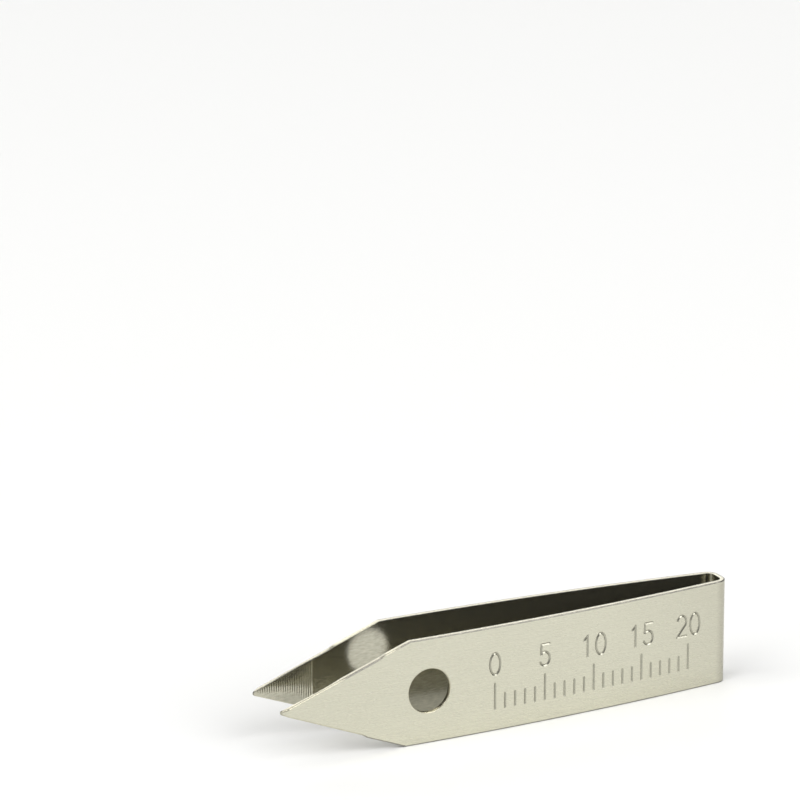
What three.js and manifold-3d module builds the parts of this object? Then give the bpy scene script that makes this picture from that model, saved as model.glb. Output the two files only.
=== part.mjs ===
// Stamp tongs folded from one strip of spring-tempered stainless steel. Millimetres, +Z up.
// The strip stands on its long edge: its width runs along Z, the folded heel is at +X and
// the two pointed tips are at -X. The origin is on the resting plane, under the middle of
// the bounding box. The strip bends in use just in front of the heel, so it is held here as
// three nodes that meet at those two flexures: the heel and the two arms.

import * as THREE from "three";
import { mergeVertices } from "three/addons/utils/BufferGeometryUtils.js";
import Module from "manifold-3d";

const wasm = await Module();
wasm.setup();

// Driving dimensions
const STRIP_WIDTH = 9.525; // 3/8 in strip
const STRIP_THICKNESS = 0.45;
const OVERALL_LENGTH = 44.7; // back of the heel to the tips
const HEEL_FLAT = 0.9; // flat part of the heel's back, between its two bends
const BEND_INNER_RADIUS = 0.6;
const HEEL_SPLAY = THREE.MathUtils.degToRad(6.9); // outward slope of an arm at the heel
const BLADE_TOE_IN = THREE.MathUtils.degToRad(0.6); // inward slope of the pointed blade
const UPPER_TAPER = 12.2; // tip to the upper shoulder, where the blade starts to narrow
const LOWER_TAPER = 11.7; // tip to the lower shoulder
const NOSE_RADIUS = 0.2; // rounding of the tip, seen from the side
const NOSE_LIFT = 0.1; // height of the tip above the middle of the strip
const TIP_EDGE = 0.15; // thickness left at the very tip
const TIP_GRIND = 0.6; // length ground off the outer face at the tip
const HOLE_DIAMETER = 3.97; // 5/32 in punched hole, front arm only
const HOLE_FROM_TIP = 14.0;
const FLEXURE_RUN = 3.75; // end of the heel's bend to the middle of the flexure
const FLEXURE_GAP = 0.3; // slit that lets an arm turn beside the heel

// Finish of the bare strip
const STEEL_COLOUR = 0xd5d3be;
const STEEL_ROUGHNESS = 0.32;

// Facets
const BEND_STEPS = 10;
const ARM_STEP = 1.3; // length of one facet along an arm's long curve
const NOSE_STEPS = 8;
const HOLE_STEPS = 48;

// Stations along the centreline of half the strip, from the middle of the heel to a tip
const halfThickness = STRIP_THICKNESS / 2;
const tipX = -OVERALL_LENGTH / 2;
const bendRadius = BEND_INNER_RADIUS + halfThickness;
const bendCentreX = OVERALL_LENGTH / 2 - halfThickness - bendRadius;
const bendStart = HEEL_FLAT / 2;
const bendEnd = bendStart + bendRadius * (Math.PI / 2 - HEEL_SPLAY);
const bendEndX = bendCentreX + bendRadius * Math.sin(HEEL_SPLAY);
const bladeX = tipX + UPPER_TAPER * Math.cos(BLADE_TOE_IN);
const armRadius = (bendEndX - bladeX) / (Math.sin(HEEL_SPLAY) + Math.sin(BLADE_TOE_IN));
const bladeStart = bendEnd + armRadius * (HEEL_SPLAY + BLADE_TOE_IN);
const tip = bladeStart + UPPER_TAPER;
const flexure = bendEnd + FLEXURE_RUN;

/** Where the centreline is at station s: x, how far it is from the middle plane, its slope. */
function centreline(s) {
  if (s <= bendStart) {
    return { x: bendCentreX + bendRadius, out: s, slope: Math.PI / 2 };
  }
  if (s <= bendEnd) {
    const slope = Math.PI / 2 - (s - bendStart) / bendRadius;
    return {
      x: bendCentreX + bendRadius * Math.sin(slope),
      out: bendStart + bendRadius * Math.cos(slope),
      slope,
    };
  }
  if (s <= bladeStart) {
    const from = centreline(bendEnd);
    const slope = HEEL_SPLAY - (s - bendEnd) / armRadius;
    return {
      x: from.x + armRadius * (Math.sin(slope) - Math.sin(HEEL_SPLAY)),
      out: from.out + armRadius * (Math.cos(slope) - Math.cos(HEEL_SPLAY)),
      slope,
    };
  }
  const from = centreline(bladeStart);
  const run = s - bladeStart;
  return {
    x: from.x - run * Math.cos(BLADE_TOE_IN),
    out: from.out - run * Math.sin(BLADE_TOE_IN),
    slope: -BLADE_TOE_IN,
  };
}

/** Plan point at station s, moved out from the centreline. Negative stations are the rear half. */
function planPoint(s, offset) {
  const { x, out, slope } = centreline(Math.abs(s));
  const side = s < 0 ? 1 : -1;
  return new THREE.Vector2(x + offset * Math.sin(slope), side * (out + offset * Math.cos(slope)));
}

/** Evenly spaced stations from a to b, both included. */
function stations(a, b, steps) {
  return Array.from({ length: steps + 1 }, (_, i) => a + ((b - a) * i) / steps);
}

/** The plan outline that follows the outer face along the stations and comes back inside. */
function bandOutline(list) {
  const outer = list.map((s) => planPoint(s, halfThickness));
  const inner = list.map((s) => planPoint(s, -halfThickness)).reverse();
  return [...outer, ...inner];
}

/** A plan outline made as tall as the strip is wide. */
function standUp(outline) {
  const shape = new THREE.Shape(outline);
  return new THREE.ExtrudeGeometry(shape, { depth: STRIP_WIDTH, bevelEnabled: false });
}

/** A closed three.js geometry as a manifold solid. */
function toSolid(geometry) {
  const bare = geometry.clone();
  bare.deleteAttribute("normal");
  bare.deleteAttribute("uv");
  const merged = mergeVertices(bare, 1e-5);
  return new wasm.Manifold(
    new wasm.Mesh({
      numProp: 3,
      vertProperties: merged.attributes.position.array,
      triVerts: Uint32Array.from(merged.index.array),
    }),
  );
}

/** A manifold solid as a three.js geometry. */
function toGeometry(solid) {
  const mesh = solid.getMesh();
  const geometry = new THREE.BufferGeometry();
  geometry.setAttribute("position", new THREE.BufferAttribute(mesh.vertProperties, 3));
  geometry.setIndex(new THREE.BufferAttribute(mesh.triVerts, 1));
  geometry.computeVertexNormals();
  return geometry;
}

/** The folded heel: its flat back, both bends and the start of each arm, up to the flexures. */
function heelGeometry() {
  const end = flexure - FLEXURE_GAP / 2;
  const half = [
    0,
    ...stations(bendStart, bendEnd, BEND_STEPS),
    ...stations(bendEnd, end, Math.ceil((end - bendEnd) / ARM_STEP)).slice(1),
  ];
  const rear = half.slice(1).map((s) => -s).reverse();
  return standUp(bandOutline([...rear, ...half]));
}

/** One arm's plan outline from its flexure to the tip, with the tip's outer face ground down. */
function armPlan(side) {
  const start = flexure + FLEXURE_GAP / 2;
  const curve = stations(start, bladeStart, Math.ceil((bladeStart - start) / ARM_STEP));
  const outline = bandOutline([...curve, tip - TIP_GRIND].map((s) => side * s));
  const end = curve.length + 1;
  outline.splice(
    end,
    0,
    planPoint(side * tip, TIP_EDGE - halfThickness),
    planPoint(side * tip, -halfThickness),
  );
  return outline;
}

/** Where the straight edge from a shoulder touches the nose circle, as an angle on it. */
function noseContact(shoulder, height) {
  const along = shoulder - NOSE_RADIUS;
  const up = height - NOSE_LIFT;
  const reach = Math.acos(NOSE_RADIUS / Math.hypot(along, up));
  return Math.atan2(up, along) + Math.sign(height) * reach;
}

/** The side outline of an arm in X and Z: full width to the shoulders, then down to the nose. */
function armProfile() {
  const middle = STRIP_WIDTH / 2;
  const upper = noseContact(UPPER_TAPER, middle);
  const lower = noseContact(LOWER_TAPER, -middle) + 2 * Math.PI;
  const nose = stations(upper, lower, NOSE_STEPS).map(
    (angle) =>
      new THREE.Vector2(
        tipX + NOSE_RADIUS * (1 + Math.cos(angle)),
        middle + NOSE_LIFT + NOSE_RADIUS * Math.sin(angle),
      ),
  );
  return [
    new THREE.Vector2(-tipX, 0),
    new THREE.Vector2(-tipX, STRIP_WIDTH),
    new THREE.Vector2(tipX + UPPER_TAPER, STRIP_WIDTH),
    ...nose,
    new THREE.Vector2(tipX + LOWER_TAPER, 0),
  ];
}

/** The arms' side outline as a block that reaches past both outer faces. */
function profileBlock() {
  const depth = 2 * OVERALL_LENGTH;
  const shape = new THREE.Shape(armProfile());
  const block = new THREE.ExtrudeGeometry(shape, { depth, bevelEnabled: false });
  block.rotateX(Math.PI / 2);
  block.translate(0, depth / 2, 0);
  return toSolid(block);
}

/** The drill of the punched hole, square to the front arm. */
function holeDrill() {
  const at = centreline(tip - HOLE_FROM_TIP);
  const radius = HOLE_DIAMETER / 2;
  const drill = new THREE.CylinderGeometry(radius, radius, 4 * STRIP_THICKNESS, HOLE_STEPS);
  drill.rotateZ(at.slope);
  drill.translate(at.x, -at.out, STRIP_WIDTH / 2);
  return toSolid(drill);
}

/** An arm: side 1 is the front one at -Y, side -1 the rear one. */
function armSolid(side) {
  return toSolid(standUp(armPlan(side))).intersect(profileBlock());
}

function steel() {
  return new THREE.MeshStandardMaterial({
    color: STEEL_COLOUR,
    roughness: STEEL_ROUGHNESS,
    metalness: 1,
  });
}

function named(name, geometry) {
  const mesh = new THREE.Mesh(geometry, steel());
  mesh.name = name;
  return mesh;
}

const tongs = new THREE.Group();
tongs.add(
  named("spring_heel", heelGeometry()),
  named("front_arm", toGeometry(armSolid(1).subtract(holeDrill()))),
  named("rear_arm", toGeometry(armSolid(-1))),
);

export default tongs;
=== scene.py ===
"""Stamp tongs: one strip of brushed spring steel, folded into a narrow heel with two pin-point arms.

Each piece is laid out in millimetres on the flat strip, as u (distance from the tip), z (across the
strip) and n (out from the middle of its thickness), then bent onto the strip's centreline.
"""

import math

import bmesh
import bpy
import numpy as np
from mathutils import Matrix, Vector
from mathutils.geometry import delaunay_2d_cdt


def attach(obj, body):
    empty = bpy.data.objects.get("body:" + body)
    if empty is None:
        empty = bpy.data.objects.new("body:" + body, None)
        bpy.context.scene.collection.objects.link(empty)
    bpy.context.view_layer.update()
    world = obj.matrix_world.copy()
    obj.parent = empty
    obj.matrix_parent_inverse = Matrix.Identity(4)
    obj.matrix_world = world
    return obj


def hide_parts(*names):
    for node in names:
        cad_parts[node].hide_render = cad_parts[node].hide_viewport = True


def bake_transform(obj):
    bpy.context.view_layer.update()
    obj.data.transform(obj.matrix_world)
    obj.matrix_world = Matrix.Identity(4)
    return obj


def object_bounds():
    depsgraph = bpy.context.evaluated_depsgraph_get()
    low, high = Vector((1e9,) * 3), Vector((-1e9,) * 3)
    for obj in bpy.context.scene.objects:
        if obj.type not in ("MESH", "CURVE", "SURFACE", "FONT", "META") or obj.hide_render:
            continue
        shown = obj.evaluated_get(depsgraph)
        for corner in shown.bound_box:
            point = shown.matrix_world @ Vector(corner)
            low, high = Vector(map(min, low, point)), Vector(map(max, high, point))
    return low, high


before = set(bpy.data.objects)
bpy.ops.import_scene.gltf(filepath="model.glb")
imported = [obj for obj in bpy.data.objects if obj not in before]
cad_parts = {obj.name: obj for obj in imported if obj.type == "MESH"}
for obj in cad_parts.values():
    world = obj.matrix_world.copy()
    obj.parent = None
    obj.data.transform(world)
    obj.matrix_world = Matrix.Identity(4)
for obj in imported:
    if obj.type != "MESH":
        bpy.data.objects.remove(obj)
cad_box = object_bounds()

MM = 0.001

# Lengths are in millimetres unless they say metres. The strip's width and length are the CAD model's.
WIDTH = (cad_box[1].z - cad_box[0].z) / MM
HEEL_X = cad_box[1].x / MM
TIP_X = cad_box[0].x / MM
THICKNESS = 0.45
HALF = THICKNESS / 2
HEEL_FLAT = 0.9
BEND_RADIUS = 0.6 + HALF
HEEL_SPLAY = math.radians(6.9)
BLADE_TOE_IN = math.radians(0.6)

# The pointed blade
UPPER_TAPER = 12.2
LOWER_TAPER = 11.7
NOSE_RADIUS = 0.2
NOSE_LIFT = 0.1
TIP_EDGE = 0.15
TIP_GRIND = 0.6
GROUND_TO = {"front": (9.4, 7.65), "rear": (7.4, 7.65)}  # end of the ground stretch, upper and lower
UPPER_STEP = 0.06  # how far the edge steps out there
LOWER_STEP = 0.11
STEP_RUN = 0.4

# Tones: 0 is a material's first colour and 1 its second. They carry painted light and shade.
PAINTED_HIGHLIGHT_UPPER = {"front": [(0, 5.8), (9.6, 10.9)], "rear": [(7.7, 12.0)]}  # painted highlights along the cut edge, in part over the polish of the ground stretch
PAINTED_HIGHLIGHT_LOWER = [(0, 7.65)]
HIGHLIGHT_FADE = 0.8
TOP_FLAT_LIGHT_TONE = 0.7  # painted light: the flat of the rest of the upper edge, lighter than the lower one
FACE_SHADE_TONE = 0.35  # painted shade: the outer face's tone where it meets the heel
FACE_SHADE_RUN = 12.0  # length in front of the heel over which it gets there

# The punched hole in the front arm
HOLE_RADIUS = 3.97 / 2
HOLE_FROM_TIP = 14.0

# Cut edges: rounding on the outer and inner side, and the narrow flat beside it
OUTER_ROUND = 0.08
GROUND_ROUND = 0.10
INNER_ROUND = 0.035
HOLE_ROUND = 0.06
EDGE_FLAT = 0.03
ROUND_STEPS = 3
HALF_ROWS = 2 + ROUND_STEPS  # rows of an edge's profile on its outer half, and on its inner half
CUT_ROWS = (HALF_ROWS - 1, HALF_ROWS)  # the rows that border its flat cut face

# Gripping serrations on the inner faces
SERRATION_PITCH = 0.22
SERRATION_DEPTH = 0.042
SERRATION_FROM = 0.4
SERRATION_TO = SERRATION_FROM + 24 * SERRATION_PITCH
GRIP_CROWN = 0.09  # how far the gripping face falls away, per square millimetre from its middle
CROWN_FADE = 3.0  # length over which the crown fades out before the serrations end

# Engraved millimetre scale on the front arm
SCALE_FROM = 20.4
SCALE_LENGTH = 20
TICK_BASE = 2.0
TICK_SHORT = 1.3
TICK_LONG = 2.3
DIGIT_BASE = 5.15
DIGIT_HEIGHT = 1.95
DIGIT_WIDTH = 1.0
DIGIT_GAP = 0.42
GROOVE_HALF = 0.11
GROOVE_FLOOR = 0.015
GROOVE_DEPTH = 0.075

# Brushing
BRUSH_ANISOTROPY = 0.6
BRUSH_TURN = 0.25  # a quarter turn, from along the strip to across it
NOISE_RANGE = (0.3, 0.7)  # the noise values that a streak's full contrast is spread over
NOISE_DETAIL = 3
BRUSH_DEPTH = 0.01
BROAD_ALONG, BROAD_ACROSS = 0.6, 0.5  # how fine the broad streaks are, as shares of the fine ones

# The camera, in degrees and millimetres, from the foot of the heel's back
CAMERA_AZIMUTH = -26.90
CAMERA_ELEVATION = 16.81
CAMERA_ROLL = -0.0015  # radians
CAMERA_LEFT = 28.46
CAMERA_UP = 24.65
CAMERA_BACK = 471.23
CAMERA_LENS = 237.6

# Studio, in metres
FLOOR_SIZE = 3
FLOOR_COLOUR = (0.89, 0.89, 0.88)
ROOM_LIGHT = 0.22
LIGHT_DISTANCE = 1.5
SOFTBOXES = [  # name, azimuth, elevation, size, radiance
    ("softbox_left", -80, 42, 1.3, 2.9),
    ("softbox_right", 26, 38, 1.3, 3.2),
    ("backdrop", 160, 30, 0.9, 1.9),
    ("overhead", 0, 90, 0.8, 1.3),
]

# Facets
COLUMN_STEP = 0.6
COLUMN_CLEAR = 0.02  # an outline's corner this close to a column stands in for the crossing
EDGE_BOW = 0.016  # four times how far a whole edge of the outline bows in
NOSE_POINTS = 13
ROW_STEP = 1.1
GRID_START = (1, 0.6)
OUTLINE_CLEAR = 0.35  # least distance from a grid point to a corner of the outline
INNER_CLEAR = 0.3  # and to the hole and the serrations
FILL_TOLERANCE = 2e-6
CROWN_STEP = 0.25
BEND_STEP = math.radians(5)
HOLE_STEPS = 72
STROKE_END_POINTS = 5
MITER_LIMIT = 0.6  # keeps the line beside a stroke from shooting out at a sharp turn
SEAM_RUN = 0.35  # how far past the heel's bend an arm's own mesh begins
SEAM_TOLERANCE = 1e-3
WELD = 2e-4  # points closer than this are merged
NEAR = 0.01  # slack for a point that lies on the first or last serration
ENGRAVED = 1e-4  # least depth of an engraved face

CREASE = math.radians(14)  # a face edge bent by more is left sharp

OUTER_FACE, CUT_EDGE, INNER_FACE, GROOVE = range(4)

# Stations on the centreline, measured from the middle of the heel
bend_x = HEEL_X - HALF - BEND_RADIUS
bend_start = HEEL_FLAT / 2
bend_end = bend_start + BEND_RADIUS * (math.pi / 2 - HEEL_SPLAY)
bend_end_x = bend_x + BEND_RADIUS * math.sin(HEEL_SPLAY)
blade_x = TIP_X + UPPER_TAPER * math.cos(BLADE_TOE_IN)
arm_radius = (bend_end_x - blade_x) / (math.sin(HEEL_SPLAY) + math.sin(BLADE_TOE_IN))
blade_start = bend_end + arm_radius * (HEEL_SPLAY + BLADE_TOE_IN)
tip_station = blade_start + UPPER_TAPER
seam_station = bend_end + SEAM_RUN
seam_u = tip_station - seam_station


def centreline(s):
    """x, distance from the middle plane and slope of the centreline at the stations s."""
    slope = np.where(
        s <= bend_start,
        math.pi / 2,
        np.where(
            s <= bend_end,
            math.pi / 2 - (s - bend_start) / BEND_RADIUS,
            np.maximum(HEEL_SPLAY - (s - bend_end) / arm_radius, -BLADE_TOE_IN),
        ),
    )
    bend_out = bend_start + BEND_RADIUS * np.cos(slope)
    arm_out = bend_start + BEND_RADIUS * math.cos(HEEL_SPLAY) - arm_radius * math.cos(HEEL_SPLAY)
    run = np.maximum(s - blade_start, 0)
    x = np.where(
        s <= bend_end,
        bend_x + BEND_RADIUS * np.sin(slope),
        bend_end_x + arm_radius * (np.sin(slope) - math.sin(HEEL_SPLAY)) - run * math.cos(BLADE_TOE_IN),
    )
    arm_line = arm_out + arm_radius * np.cos(slope) - run * math.sin(BLADE_TOE_IN)
    out = np.where(s <= bend_start, s, np.where(s <= bend_end, bend_out, arm_line))
    return x, out, slope


def bend(u, z, n, side):
    """Points of the flat strip on the folded one. side is -1 for the front half, 1 for the rear one."""
    x, out, slope = centreline(tip_station - u)
    return np.stack([x + n * np.sin(slope), side * (out + n * np.cos(slope)), z], axis=1)


class Flat:
    """A mesh laid out on the flat strip."""

    def __init__(self):
        self.points, self.tones, self.faces, self.kinds, self.count = [], [], [], [], 0

    def add(self, points, faces, kind, tone=0.0):
        """Adds faces. tone says how far each point's colour is from the material's first to its second."""
        self.points.append(np.asarray(points, float))
        self.tones.append(np.broadcast_to(tone, len(points)))
        self.faces += [[self.count + int(i) for i in face] for face in faces]
        self.kinds += [kind] * len(faces)
        self.count += len(points)

    def bridge(self, loops, tone):
        """Joins closed loops of the same length into a cut edge."""
        size = len(loops[0])
        faces = []
        for k in range(len(loops) - 1):
            for i in range(size):
                j = (i + 1) % size
                faces.append((k * size + i, k * size + j, (k + 1) * size + j, (k + 1) * size + i))
        self.add(np.concatenate(loops), faces, CUT_EDGE, tone)

    def build(self, name, place, distance=abs):
        """A Blender object of the mesh. place turns the flat points into ones on the folded strip, in
        millimetres, and distance turns their first coordinate into the distance from the tip."""
        flat = np.concatenate(self.points)
        mesh = bpy.data.meshes.new(name)
        mesh.from_pydata((place(flat) * MM).tolist(), [], self.faces)
        mesh.polygons.foreach_set("material_index", self.kinds)
        bm = bmesh.new()
        bm.from_mesh(mesh)
        along = bm.verts.layers.float.new("along")
        across = bm.verts.layers.float.new("across")
        for vert, u, z in zip(bm.verts, distance(flat[:, 0]), flat[:, 1]):
            vert[along], vert[across] = u, z
        tone = bm.loops.layers.float.new("tone")
        tones = np.concatenate(self.tones)
        for face in bm.faces:
            for loop in face.loops:
                loop[tone] = tones[loop.vert.index]
        bmesh.ops.remove_doubles(bm, verts=bm.verts, dist=WELD * MM)
        bmesh.ops.recalc_face_normals(bm, faces=bm.faces)
        for edge in bm.edges:
            if len(edge.link_faces) == 2 and edge.calc_face_angle() > CREASE:
                cut = any(face.material_index == CUT_EDGE for face in edge.link_faces)
                at_seam = all(abs(vert[along] - seam_u) < SEAM_TOLERANCE for vert in edge.verts)
                edge.smooth = cut and not at_seam
        uv = bm.loops.layers.uv.new("strip")
        for face in bm.faces:
            face.smooth = any(abs(vert[along] - seam_u) > SEAM_TOLERANCE for vert in face.verts)
            for loop in face.loops:
                loop[uv].uv = (loop.vert[along], loop.vert[across])
        bm.to_mesh(mesh)
        bm.free()
        piece = bpy.data.objects.new(name, mesh)
        bpy.context.scene.collection.objects.link(piece)
        return piece


def edge_profile(outer_round, inner_round):
    """(inset from the outline, n) for each row from the outer face, round a cut edge, to the inner one."""
    angles = np.linspace(0, math.pi / 2, ROUND_STEPS + 1)
    pairs = [(outer_round + EDGE_FLAT, HALF)]
    for a in angles:
        pairs.append((outer_round * (1 - math.sin(a)), HALF - outer_round * (1 - math.cos(a))))
    for a in angles[::-1]:
        pairs.append((inner_round * (1 - math.sin(a)), inner_round * (1 - math.cos(a)) - HALF))
    pairs.append((inner_round + EDGE_FLAT, -HALF))
    return pairs


def nose_contact(shoulder, height):
    """Angle on the nose circle where the straight edge from a shoulder touches it."""
    along, up = shoulder - NOSE_RADIUS, height - NOSE_LIFT
    return math.atan2(up, along) + math.copysign(math.acos(NOSE_RADIUS / math.hypot(along, up)), height)


def columns():
    """Stations across which both edges of a blade have a point: fine over the serrations, then coarse."""
    fine = np.arange(SERRATION_FROM, SERRATION_TO - SERRATION_PITCH / 4, SERRATION_PITCH / 2)
    return np.concatenate([fine, np.arange(SERRATION_TO, seam_u - COLUMN_STEP / 2, COLUMN_STEP)])


def along_columns(points):
    """The open outline with a point added wherever one of its edges crosses a column. Each edge bows in by
    a few microns, so that no three points are in line and the fill has no empty triangles."""
    result = [points[0]]
    for a, b in zip(points, points[1:]):
        run = np.subtract(b, a)
        inwards = np.array([run[1], -run[0]]) / np.linalg.norm(run)
        low, high = min(a[0], b[0]) + COLUMN_CLEAR, max(a[0], b[0]) - COLUMN_CLEAR
        crossed = [c for c in columns() if low < c < high]
        for c in sorted(crossed, reverse=b[0] < a[0]):
            share = (c - a[0]) / run[0]
            result.append(a + share * run + EDGE_BOW * share * (1 - share) * inwards)
        result.append(b)
    return np.array(result)


def taper(shoulder, height, ground_to, step):
    """Outline points from the end of the ground stretch, where the edge steps out, to a shoulder."""
    contact = nose_contact(shoulder, height)
    middle = WIDTH / 2
    start = (
        NOSE_RADIUS * (1 + math.cos(contact)),
        middle + NOSE_LIFT + NOSE_RADIUS * math.sin(contact),
    )
    slope = (middle + height - start[1]) / (shoulder - start[0])
    outward = math.copysign(1, height)

    def edge(u, shift):
        return (u, start[1] + slope * (u - start[0]) + outward * shift)

    return [
        edge(ground_to, -step / 2),
        edge(ground_to + STEP_RUN, step / 2),
        (shoulder, middle + height),
    ]


def arm_outline(which):
    """The blade and arm seen flat, from the lower corner at the seam round the nose to the upper one."""
    upper_ground, lower_ground = GROUND_TO[which]
    upper = nose_contact(UPPER_TAPER, WIDTH / 2)
    lower = nose_contact(LOWER_TAPER, -WIDTH / 2) + 2 * math.pi
    nose = [
        (NOSE_RADIUS * (1 + math.cos(a)), WIDTH / 2 + NOSE_LIFT + NOSE_RADIUS * math.sin(a))
        for a in np.linspace(lower, upper, NOSE_POINTS)
    ]
    return along_columns(
        [(seam_u, 0.0)]
        + taper(LOWER_TAPER, -WIDTH / 2, lower_ground, LOWER_STEP)[::-1]
        + nose
        + taper(UPPER_TAPER, WIDTH / 2, upper_ground, UPPER_STEP)
        + [(seam_u, WIDTH)]
    )


def inward(outline):
    """For each outline point, the move that insets both its edges by 1. The seam's two move straight in."""
    step = np.diff(outline, axis=0)
    step /= np.linalg.norm(step, axis=1)[:, None]
    normal = np.stack([step[:, 1], -step[:, 0]], axis=1)
    before, after = normal[:-1], normal[1:]
    miter = (before + after) / (1 + (before * after).sum(axis=1))[:, None]
    return np.concatenate([[(0.0, 1.0)], miter, [(0.0, -1.0)]])


def inside(points, loop):
    """Which points are inside a closed loop."""
    x, y = points[:, 0], points[:, 1]
    result = np.zeros(len(points), bool)
    for (ax, ay), (bx, by) in zip(loop, np.roll(loop, -1, axis=0)):
        if ay != by:
            crosses = (ay > y) != (by > y)
            result ^= crosses & (x < ax + (y - ay) * (bx - ax) / (by - ay))
    return result


def clearance(points, loop):
    """Distance from each point to the nearest corner of the loop."""
    return np.sqrt(((points[:, None] - loop[None]) ** 2).sum(axis=2)).min(axis=1)


def fill(outline, hole, lines):
    """Triangles inside the outline and outside the hole, with the lines as edges between them."""
    chains = [(outline, True)] + [(hole, True)] * (hole is not None) + [(line, False) for line in lines]
    verts, edges = [], []
    for chain, closed in chains:
        base = len(verts)
        verts += [Vector((float(a), float(b))) for a, b in chain]
        edges += [(base + i, base + i + 1) for i in range(len(chain) - 1)]
        if closed:
            edges.append((len(verts) - 1, base))
    grid_u, grid_z = np.arange(GRID_START[0], seam_u, ROW_STEP), np.arange(GRID_START[1], WIDTH, ROW_STEP)
    grid = np.array([(u, z) for u in grid_u for z in grid_z])
    free = inside(grid, outline) & (clearance(grid, outline) > OUTLINE_CLEAR)
    free &= grid[:, 0] > SERRATION_TO + INNER_CLEAR
    if hole is not None:
        free &= ~inside(grid, hole) & (clearance(grid, hole) > INNER_CLEAR)
    verts += [Vector((float(a), float(b))) for a, b in grid[free]]
    points, _, faces, *_ = delaunay_2d_cdt(verts, edges, [], 0, FILL_TOLERANCE, False)
    points, faces = np.array([tuple(p) for p in points]), np.array(faces)
    middle = points[faces].mean(axis=1)
    kept = inside(middle, outline)
    if hole is not None:
        kept &= ~inside(middle, hole)
    return points, faces[kept]


def arc(centre, radii, start, end, count):
    """Points on an ellipse, with angles in degrees."""
    angles = np.radians(np.linspace(start, end, count))
    return np.stack([centre[0] + radii[0] * np.cos(angles), centre[1] + radii[1] * np.sin(angles)], axis=1)


def line(a, b):
    return np.array([a, b], float)


def digit_strokes(digit):
    """The strokes of a digit in a box one unit wide and one high. A sharp corner starts a new stroke."""
    if digit == "0":
        return [arc((0.5, 0.5), (0.5, 0.5), 90, 450, 29)]
    if digit == "1":
        return [line((0.2, 0.8), (0.55, 1.0)), line((0.55, 1.0), (0.55, 0.0))]
    if digit == "2":
        curl = arc((0.5, 0.7), (0.47, 0.3), 165, -35, 14)
        return [np.vstack([curl, [(0.0, 0.0)]]), line((0.0, 0.0), (1.0, 0.0))]
    bowl = arc((0.46, 0.32), (0.5, 0.32), 128, -150, 18)
    top, stem = line((0.92, 1.0), (0.14, 1.0)), line((0.14, 1.0), (0.08, 0.53))
    return [top, stem, np.vstack([[(0.08, 0.53)], bowl])]


def scale_strokes():
    """The engraved scale's strokes: a tick every millimetre and a number every five."""
    strokes = []
    for mark in range(SCALE_LENGTH + 1):
        u = SCALE_FROM + mark
        tall = TICK_LONG if mark % 5 == 0 else TICK_SHORT
        strokes.append(np.array([(u, TICK_BASE), (u, TICK_BASE + tall)]))
        if mark % 5 == 0:
            number = str(mark)
            width = len(number) * (DIGIT_WIDTH + DIGIT_GAP) - DIGIT_GAP
            for place, digit in enumerate(number):
                left = u - width / 2 + place * (DIGIT_WIDTH + DIGIT_GAP)
                for stroke in digit_strokes(digit):
                    strokes.append(stroke * (DIGIT_WIDTH, DIGIT_HEIGHT) + (left, DIGIT_BASE))
    return strokes


def beside(stroke, distance):
    """The closed line that runs round a stroke at a distance from it, with rounded ends."""
    step = np.diff(stroke, axis=0)
    step /= np.linalg.norm(step, axis=1)[:, None]
    normal = np.stack([-step[:, 1], step[:, 0]], axis=1)
    before, after = np.vstack([normal[:1], normal]), np.vstack([normal, normal[-1:]])
    miter = (before + after) / np.maximum(1 + (before * after).sum(axis=1), MITER_LIMIT)[:, None]
    turn = math.degrees(math.atan2(*normal[-1][::-1]))
    end = arc(stroke[-1], (distance, distance), turn, turn - 180, STROKE_END_POINTS)[1:-1]
    turn = math.degrees(math.atan2(*normal[0][::-1]))
    start = arc(stroke[0], (distance, distance), turn + 180, turn, STROKE_END_POINTS)[1:-1]
    loop = np.vstack([stroke + miter * distance, end, (stroke - miter * distance)[::-1], start])
    return np.vstack([loop, loop[:1]])


def groove_depth(points, strokes):
    """How deep the engraving is at each point: a groove with sloping walls along each stroke."""
    nearest = np.full(len(points), np.inf)
    for stroke in strokes:
        for a, b in zip(stroke, stroke[1:]):
            share = np.clip(((points - a) @ (b - a)) / ((b - a) @ (b - a)), 0, 1)
            nearest = np.minimum(nearest, np.linalg.norm(points - a - share[:, None] * (b - a), axis=1))
    return GROOVE_DEPTH * np.clip((GROOVE_HALF - nearest) / (GROOVE_HALF - GROOVE_FLOOR), 0, 1)


def crown_depth(points):
    """How far the gripping face falls away from its middle line towards both edges."""
    rise = points[:, 1] - WIDTH / 2 - NOSE_LIFT
    return GRIP_CROWN * rise ** 2 * np.clip((SERRATION_TO - points[:, 0]) / CROWN_FADE, 0, 1)


def serration_depth(points):
    """How deep the cross grooves of the gripping face are: a V across the blade at each pitch."""
    u = points[:, 0]
    phase = np.abs(((u - SERRATION_FROM) / SERRATION_PITCH + 0.5) % 1 - 0.5) * 2
    return np.where((u > SERRATION_FROM - NEAR) & (u < SERRATION_TO), SERRATION_DEPTH * phase, 0)


def edge_tone(points, on_cut, which):
    """Tone of the cut edge: 1 along the painted highlights, in part over the grinding's polish; less on the
    flat of the upper edge, as painted light from above; else 0, the dark colour that paints the shade.
    """
    u, upper = points[:, 0], points[:, 1] > WIDTH / 2
    tone = np.where(upper & on_cut, TOP_FLAT_LIGHT_TONE, 0.0)
    for lengths, here in ((PAINTED_HIGHLIGHT_UPPER[which], upper), (PAINTED_HIGHLIGHT_LOWER, ~upper)):
        for a, b in lengths:
            inside_by = np.minimum(u - a, b - u) / HIGHLIGHT_FADE + 0.5
            tone = np.maximum(tone, np.where(here, np.clip(inside_by, 0, 1), 0))
    return tone


def face_tone(points):
    """Tone of an arm's outer face: painted shade, a little darker towards the heel."""
    return FACE_SHADE_TONE * np.clip(1 - (seam_u - points[:, 0]) / FACE_SHADE_RUN, 0, 1)


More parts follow.
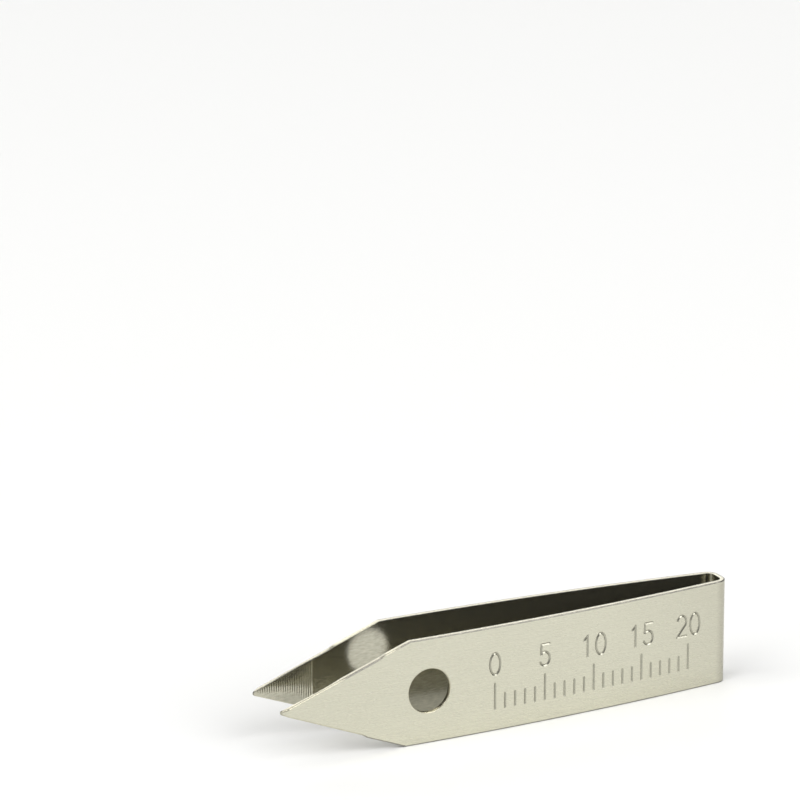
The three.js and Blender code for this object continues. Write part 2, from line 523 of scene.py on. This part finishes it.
def bend_tone(s):
    """Tone of the heel's outer face: painted shade, darker still round the bend, to 1."""
    turned = (seam_station - np.abs(s)) / (bend_end - bend_start)
    return FACE_SHADE_TONE + (1 - FACE_SHADE_TONE) * np.clip(turned, 0, 0.5) * 2


def with_n(points, n):
    """Points of the strip's plane at the height n, or each at its own."""
    return np.column_stack([points, np.broadcast_to(n, len(points))])


def grind_tip(flat):
    """Thins the blade towards the tip, on its outer side only."""
    u, n = flat[:, 0], flat[:, 2]
    left = TIP_EDGE + (THICKNESS - TIP_EDGE) * np.clip(u / TIP_GRIND, 0, 1)
    return np.column_stack([flat[:, :2], (n + HALF) * left / THICKNESS - HALF])


def cross_lines(outline):
    """Lines across the blade at each serration, between the points that both edges have there."""
    lines = []
    for c in columns():
        ends = outline[np.abs(outline[:, 0] - c) < SERRATION_PITCH / 4]
        if c < SERRATION_TO + NEAR and len(ends) >= 2:
            low, high = ends[ends[:, 1].argmin()], ends[ends[:, 1].argmax()]
            count = 2 + int((high[1] - low[1]) / CROWN_STEP)
            lines.append(np.linspace(low, high, count))
    return lines


def rim_loops(which):
    """The closed loops of an arm's cut edge, from its outer face round to its inner one."""
    outline = arm_outline(which)
    move = inward(outline)
    ground = (outline[:, 0] < np.where(outline[:, 1] > WIDTH / 2, *GROUND_TO[which]))[:, None]
    outer_round = np.where(ground, GROUND_ROUND, OUTER_ROUND)
    return [
        with_n(outline + inset * move, np.ravel(n))
        for inset, n in edge_profile(outer_round, INNER_ROUND)
    ]


def hole_loops():
    """The closed loops of the punched hole's edge, from the outer face to the inner one."""
    middle = (HOLE_FROM_TIP, WIDTH / 2)
    spoke = arc(middle, (1, 1), 0, 360, HOLE_STEPS + 1)[:-1] - middle
    return [
        with_n(middle + spoke * (HOLE_RADIUS + inset), n)
        for inset, n in edge_profile(HOLE_ROUND, INNER_ROUND)
    ]


def make_arm(name, which, side):
    """One arm from the seam beside the heel to its tip. The front one has the hole and the scale."""
    flat = Flat()
    outer_hole, inner_hole, strokes = None, None, []
    if which == "front":
        strokes = scale_strokes()
        hole = hole_loops()
        outer_hole, inner_hole = hole[0][:, :2], hole[-1][:, :2]
        # The outer half of the hole's edge gets the bright edge colour as a painted highlight; the inner
        # half keeps the dark colour, painted shade.
        flat.bridge(hole, np.repeat([1, 0], HALF_ROWS * HOLE_STEPS))

    rim = rim_loops(which)
    grooves = [beside(s, d) for s in strokes for d in (GROOVE_FLOOR, GROOVE_HALF)]
    points, faces = fill(rim[0][:, :2], outer_hole, grooves)
    depth = groove_depth(points, strokes)
    engraved = depth[faces].max(axis=1) > ENGRAVED
    # The outer face's tone paints shade, growing towards the heel.
    flat.add(with_n(points, HALF - depth), faces[~engraved], OUTER_FACE, face_tone(points))
    # Engraved faces get the groove colour, a darker one that paints the shade in the grooves.
    flat.add(with_n(points, HALF - depth), faces[engraved], GROOVE)

    last = rim[-1][:, :2]
    points, faces = fill(last, inner_hole, cross_lines(last))
    flat.add(with_n(points, crown_depth(points) + serration_depth(points) - HALF), faces, INNER_FACE)

    for loop in rim[HALF_ROWS:]:
        loop[:, 2] += crown_depth(loop) + serration_depth(loop)
    on_cut = np.isin(np.arange(len(rim)), CUT_ROWS).repeat(len(last))
    # The cut edge's tones paint highlights, and light on its upper flat, over a dark colour that paints the
    # shade.
    flat.bridge(rim, edge_tone(np.concatenate(rim), on_cut, which))
    return flat.build(name, lambda p: bend(*grind_tip(p).T, side))


def make_heel(name):
    """The folded heel from one arm's seam to the other's: one section swept along the strip."""
    profile = edge_profile(OUTER_ROUND, INNER_ROUND)
    section = profile + [(WIDTH - inset, n) for inset, n in profile[::-1]]
    size = len(section)
    middle = len(profile)
    turns = math.ceil((math.pi / 2 - HEEL_SPLAY) / BEND_STEP)
    half = np.concatenate([np.linspace(bend_start, bend_end, turns + 1), [seam_station]])
    stations = np.concatenate([-half[::-1], half])
    points = np.array([(s, z, n) for s in stations for z, n in section])

    def face_tones(corners, i, j, kind):
        """The tones of a face's corners, the first two in the section's rows i and j."""
        if kind == OUTER_FACE:
            # painted shade, darker round the bend
            return bend_tone(corners[:, 0])
        if kind == INNER_FACE:
            return 0
        # The upper cut flat gets painted light; the other rows keep the dark colour, painted shade.
        first, second = [TOP_FLAT_LIGHT_TONE if size - 1 - row in CUT_ROWS else 0 for row in (i, j)]
        return np.array([first, second, second, first], float)

    def place(p):
        s, half_side = np.abs(p[:, 0]), np.where(p[:, 0] < 0, 1, -1)
        return bend(tip_station - s, p[:, 1], p[:, 2], half_side)

    flat = Flat()
    for k in range(len(stations) - 1):
        for i in range(size):
            j = (i + 1) % size
            kind = OUTER_FACE if i == size - 1 else INNER_FACE if i == middle - 1 else CUT_EDGE
            face = (k * size + i, k * size + j, (k + 1) * size + j, (k + 1) * size + i)
            corners = points[list(face)]
            flat.add(corners, [(0, 1, 2, 3)], kind, face_tones(corners, i, j, kind))
    for k in (0, len(stations) - 1):
        flat.add(points[k * size:(k + 1) * size], [tuple(range(size))], CUT_EDGE)
    return flat.build(name, place, lambda s: tip_station - np.abs(s))


def link(tree, a, b):
    tree.links.new(a, b)


def steel(name, colour, contrast, roughness, spread, brushing, streak, bump, second=None, metallic=1.0):
    """Steel brushed along the strip. brushing is how fine the streaks are, per millimetre across it, and
    streak how long they are, in millimetres. contrast and spread vary the colour and the roughness. second
    is the colour where the tone is 1. A metallic value under 1 leaves a dull film on the steel."""
    material = bpy.data.materials.new(name)
    material.use_nodes = True
    tree = material.node_tree
    shader = tree.nodes["Principled BSDF"]
    shader.inputs["Metallic"].default_value = metallic
    shader.inputs["Anisotropic"].default_value = BRUSH_ANISOTROPY
    shader.inputs["Anisotropic Rotation"].default_value = BRUSH_TURN

    uv = tree.nodes.new("ShaderNodeUVMap")
    uv.uv_map = "strip"
    tangent = tree.nodes.new("ShaderNodeTangent")
    tangent.direction_type = "UV_MAP"
    tangent.uv_map = "strip"
    link(tree, tangent.outputs["Tangent"], shader.inputs["Tangent"])

    def streaks(along, across):
        stretch = tree.nodes.new("ShaderNodeMapping")
        stretch.inputs["Scale"].default_value = (along, across, 1)
        noise = tree.nodes.new("ShaderNodeTexNoise")
        noise.inputs["Scale"].default_value = 1.0
        noise.inputs["Detail"].default_value = NOISE_DETAIL
        link(tree, uv.outputs["UV"], stretch.inputs["Vector"])
        link(tree, stretch.outputs["Vector"], noise.inputs["Vector"])
        return noise.outputs["Fac"]

    def spread_out(noise):
        """The noise's usual range, spread from 0 to 1."""
        ramp = tree.nodes.new("ShaderNodeMapRange")
        ramp.inputs["From Min"].default_value = NOISE_RANGE[0]
        ramp.inputs["From Max"].default_value = NOISE_RANGE[1]
        link(tree, noise, ramp.inputs["Value"])
        return ramp

    fine = streaks(1 / streak, brushing)
    broad = streaks(BROAD_ALONG / streak, brushing * BROAD_ACROSS)

    rough = spread_out(fine)
    rough.inputs["To Min"].default_value = roughness - spread
    rough.inputs["To Max"].default_value = roughness + spread
    link(tree, rough.outputs["Result"], shader.inputs["Roughness"])

    shade = spread_out(broad)
    tint = tree.nodes.new("ShaderNodeMix")
    tint.data_type = "RGBA"
    tint.inputs["A"].default_value = (*[c * (1 - contrast) for c in colour], 1)
    tint.inputs["B"].default_value = (*[c * (1 + contrast) for c in colour], 1)
    link(tree, shade.outputs["Result"], tint.inputs["Factor"])
    colour_out = tint.outputs["Result"]
    if second:
        tone = tree.nodes.new("ShaderNodeAttribute")
        tone.attribute_name = "tone"
        blend = tree.nodes.new("ShaderNodeMix")
        blend.data_type = "RGBA"
        blend.inputs["B"].default_value = (*second, 1)
        link(tree, tone.outputs["Fac"], blend.inputs["Factor"])
        link(tree, colour_out, blend.inputs["A"])
        colour_out = blend.outputs["Result"]
    link(tree, colour_out, shader.inputs["Base Color"])

    relief = tree.nodes.new("ShaderNodeBump")
    relief.inputs["Strength"].default_value = bump
    relief.inputs["Distance"].default_value = BRUSH_DEPTH * MM
    link(tree, fine, relief.inputs["Height"])
    link(tree, relief.outputs["Normal"], shader.inputs["Normal"])
    return material


def make_camera():
    """Low three-quarter view from the tips' side, with a long lens."""
    azimuth, elevation, roll = math.radians(CAMERA_AZIMUTH), math.radians(CAMERA_ELEVATION), CAMERA_ROLL
    back = Vector((
        math.sin(azimuth) * math.cos(elevation),
        -math.cos(azimuth) * math.cos(elevation),
        math.sin(elevation),
    ))
    right = (-back).cross(Vector((0, 0, 1))).normalized()
    up = right.cross(-back)
    turned_right = right * math.cos(roll) + up * math.sin(roll)
    turned_up = up * math.cos(roll) - right * math.sin(roll)
    anchor = Vector((HEEL_X, 0, 0)) * MM
    data = bpy.data.cameras.new("camera")
    data.sensor_width = 36
    data.lens = CAMERA_LENS
    data.clip_start = 0.01
    camera = bpy.data.objects.new("camera", data)
    bpy.context.scene.collection.objects.link(camera)
    offset = turned_up * CAMERA_UP - turned_right * CAMERA_LEFT + back * CAMERA_BACK
    place = anchor + offset * MM
    camera.matrix_world = Matrix.Translation(place) @ Matrix(
        (turned_right, turned_up, back)
    ).transposed().to_4x4()
    bpy.context.scene.camera = camera


def make_floor():
    mesh = bpy.data.meshes.new("floor")
    bm = bmesh.new()
    bmesh.ops.create_grid(bm, x_segments=1, y_segments=1, size=FLOOR_SIZE)
    bm.to_mesh(mesh)
    bm.free()
    floor = bpy.data.objects.new("floor", mesh)
    floor.location.z = cad_box[0].z
    bpy.context.scene.collection.objects.link(floor)
    paper = bpy.data.materials.new("paper")
    paper.use_nodes = True
    shader = paper.node_tree.nodes["Principled BSDF"]
    shader.inputs["Base Color"].default_value = (*FLOOR_COLOUR, 1)
    shader.inputs["Roughness"].default_value = 0.9
    shader.inputs["Specular IOR Level"].default_value = 0.1
    mesh.materials.append(paper)


def make_softbox(name, azimuth, elevation, size, radiance):
    """A square light that faces the tongs. Azimuth 0 is in front of them and 90 at the heel's side."""
    turn, tilt = math.radians(azimuth), math.radians(elevation)
    towards = Vector((
        math.sin(turn) * math.cos(tilt),
        -math.cos(turn) * math.cos(tilt),
        math.sin(tilt),
    ))
    data = bpy.data.lights.new(name, "AREA")
    data.size = size
    data.energy = radiance * math.pi * size ** 2
    light = bpy.data.objects.new(name, data)
    light.location = towards * LIGHT_DISTANCE
    light.rotation_euler = towards.to_track_quat("Z", "Y").to_euler()
    bpy.context.scene.collection.objects.link(light)


def make_lighting():
    """Softboxes on both sides of the camera, one overhead, a bright backdrop and a dim room."""
    world = bpy.data.worlds.new("studio")
    world.use_nodes = True
    sky = world.node_tree.nodes["Background"]
    sky.inputs["Color"].default_value = (1, 1, 1, 1)
    sky.inputs["Strength"].default_value = ROOM_LIGHT
    bpy.context.scene.world = world
    for softbox in SOFTBOXES:
        make_softbox(*softbox)
    bpy.context.scene.view_settings.view_transform = "Standard"


make_camera()
make_floor()
make_lighting()

finish = [  # in the order of OUTER_FACE, CUT_EDGE, INNER_FACE and GROOVE
    # Outer face: the second colour is painted shade towards and round the heel.
    steel(
        "brushed_face", (0.64, 0.626, 0.512), contrast=0.02, roughness=0.28, spread=0.05,
        brushing=14, streak=3, bump=0.18, second=(0.49, 0.475, 0.39),
    ),
    # Cut edge: the dark first colour paints shade on the edges; the second paints highlights and light from
    # above.
    steel(
        "cut_edge", (0.28, 0.27, 0.235), contrast=0.12, roughness=0.26, spread=0.06,
        brushing=30, streak=0.5, bump=0.5, second=(0.58, 0.555, 0.435),
    ),
    steel(
        "inner_face", (0.51, 0.495, 0.405), contrast=0.16, roughness=0.14, spread=0.03,
        brushing=12, streak=0.35, bump=0.2, metallic=0.97,
    ),
    # Grooves: the darker colour paints the shade in the engraving's recesses.
    steel(
        "groove_painted_shade", (0.42, 0.41, 0.34), contrast=0.05, roughness=0.30, spread=0.05,
        brushing=30, streak=0.5, bump=0.2,
    ),
]

heel = make_heel("heel_bend")
front = make_arm("front_blade", "front", -1)
rear = make_arm("rear_blade", "rear", 1)
for piece in (heel, front, rear):
    for material in finish:
        piece.data.materials.append(material)

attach(heel, "heel")
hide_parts("spring_heel")
for piece, body in ((front, "front_arm"), (rear, "rear_arm")):
    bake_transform(piece)
    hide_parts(body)
